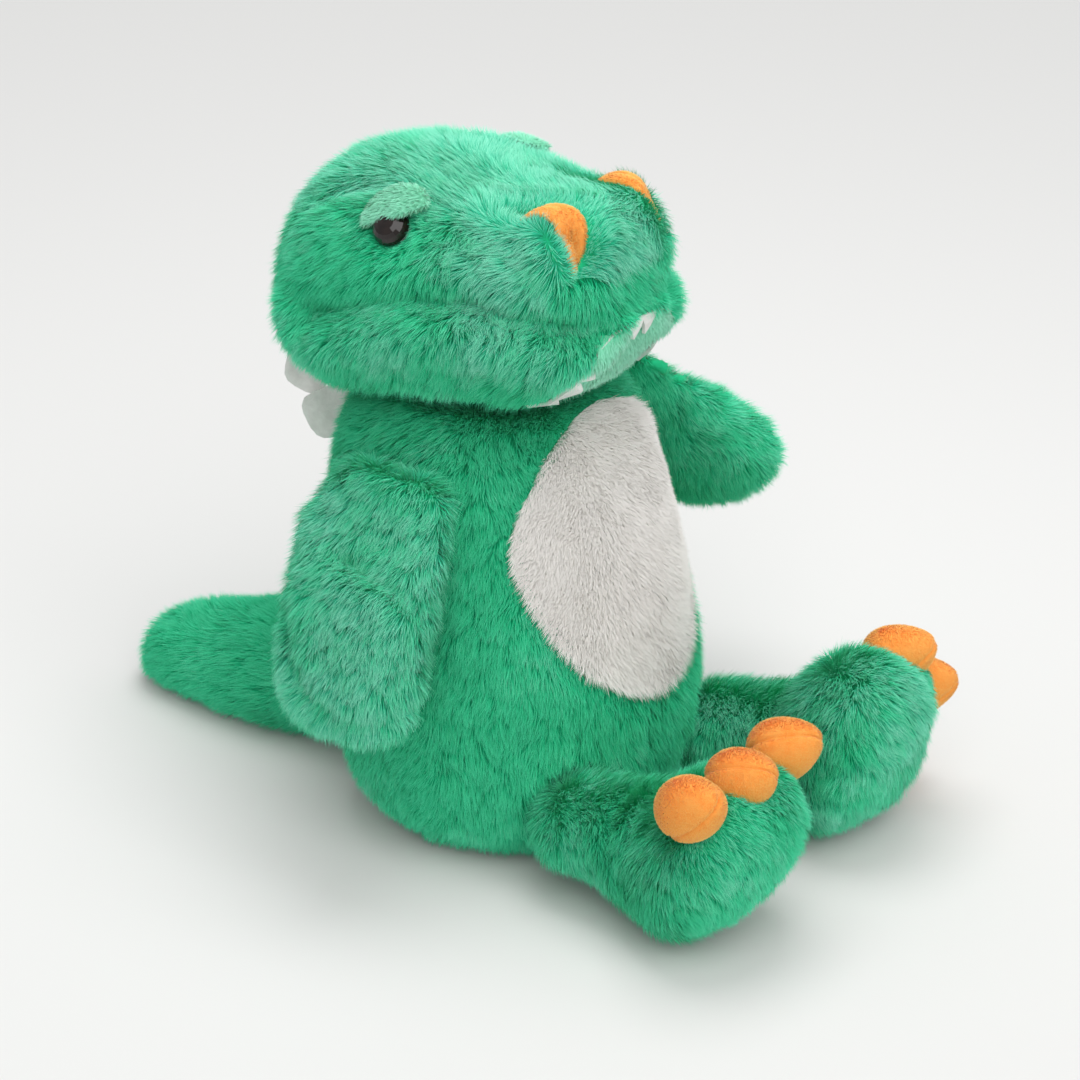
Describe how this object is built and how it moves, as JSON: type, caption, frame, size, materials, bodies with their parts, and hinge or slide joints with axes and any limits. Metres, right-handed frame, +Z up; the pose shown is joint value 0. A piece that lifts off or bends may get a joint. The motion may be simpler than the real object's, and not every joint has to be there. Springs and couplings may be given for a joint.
{
  "type": "stuffed dinosaur",
  "caption": "Sitting stuffed toy dinosaur in long green plush with a white belly panel, orange stuffed claws, felt teeth and plates, glossy eyes, and a turning head and limbs.",
  "frame": {"origin": "middle of the flat seat under the body, on the surface the toy sits on", "axes": "+Z up, -Y the way the toy faces, -X its own right side"},
  "size_m": [0.2737, 0.3667, 0.2945],
  "materials": {
    "green_plush": "long brushed pile",
    "pale_green_plush": "short pile",
    "white_plush": "medium pile",
    "white_felt": "pressed felt",
    "orange_plush": "short velvety pile",
    "fibre_filling": "loose fibre",
    "eye_plastic": "polished",
    "washer_nylon": "moulded"
  },
  "bodies": {
    "body": {"body_cover": "green_plush", "body_stuffing": "fibre_filling", "belly_panel": "white_plush", "back_plate": "white_felt"},
    "neck": {"neck_stuffing": "fibre_filling"},
    "head": {"head_cover": "green_plush", "head_stuffing": "fibre_filling", "chin_panel": "pale_green_plush", "tooth_strip": "white_felt", "nostril_right": "orange_plush", "nostril_left": "orange_plush", "eye_right": "eye_plastic", "eye_left": "eye_plastic", "eye_washer_right": "washer_nylon", "eye_washer_left": "washer_nylon", "eyelid_right": "pale_green_plush", "eyelid_left": "pale_green_plush", "nape_plate": "white_felt"},
    "arm_right": {"arm_right_cover": "green_plush", "arm_right_stuffing": "fibre_filling"},
    "arm_left": {"arm_left_cover": "green_plush", "arm_left_stuffing": "fibre_filling"},
    "leg_right": {"leg_right_cover": "green_plush", "leg_right_stuffing": "fibre_filling", "sole_right": "green_plush", "claw_right_inner": "orange_plush", "claw_right_middle": "orange_plush", "claw_right_outer": "orange_plush"},
    "leg_left": {"leg_left_cover": "green_plush", "leg_left_stuffing": "fibre_filling", "sole_left": "green_plush", "claw_left_inner": "orange_plush", "claw_left_middle": "orange_plush", "claw_left_outer": "orange_plush"},
    "tail": {"tail_cover": "green_plush", "tail_stuffing": "fibre_filling"}
  },
  "joints": [
    {"name": "head_turn", "type": "hinge", "parent": "body", "child": "neck", "pos_m": [0, 0.014, 0.201], "axis": [0, 0, 1], "range_deg": [-35, 35]},
    {"name": "head_nod", "type": "hinge", "parent": "neck", "child": "head", "pos_m": [0, 0.014, 0.201], "axis": [1, 0, 0], "range_deg": [-5, 10]},
    {"name": "shoulder_right", "type": "hinge", "parent": "body", "child": "arm_right", "pos_m": [-0.075, 0.007, 0.172], "axis": [0, 1, 0], "range_deg": [0, 70]},
    {"name": "shoulder_left", "type": "hinge", "parent": "body", "child": "arm_left", "pos_m": [0.075, 0.007, 0.172], "axis": [0.13, -0.8713, 0.4731], "range_deg": [-8, 50]},
    {"name": "hip_right", "type": "hinge", "parent": "body", "child": "leg_right", "pos_m": [-0.05, -0.072, 0.03], "axis": [-1, 0, 0], "range_deg": [-20, 19]},
    {"name": "hip_left", "type": "hinge", "parent": "body", "child": "leg_left", "pos_m": [0.05, -0.072, 0.03], "axis": [-0.9903, -0.1392, 0], "range_deg": [-20, 19]},
    {"name": "tail_wag", "type": "hinge", "parent": "body", "child": "tail", "pos_m": [0, 0.088, 0.0336], "axis": [0, 0, 1], "range_deg": [-25, 25]}
  ]
}
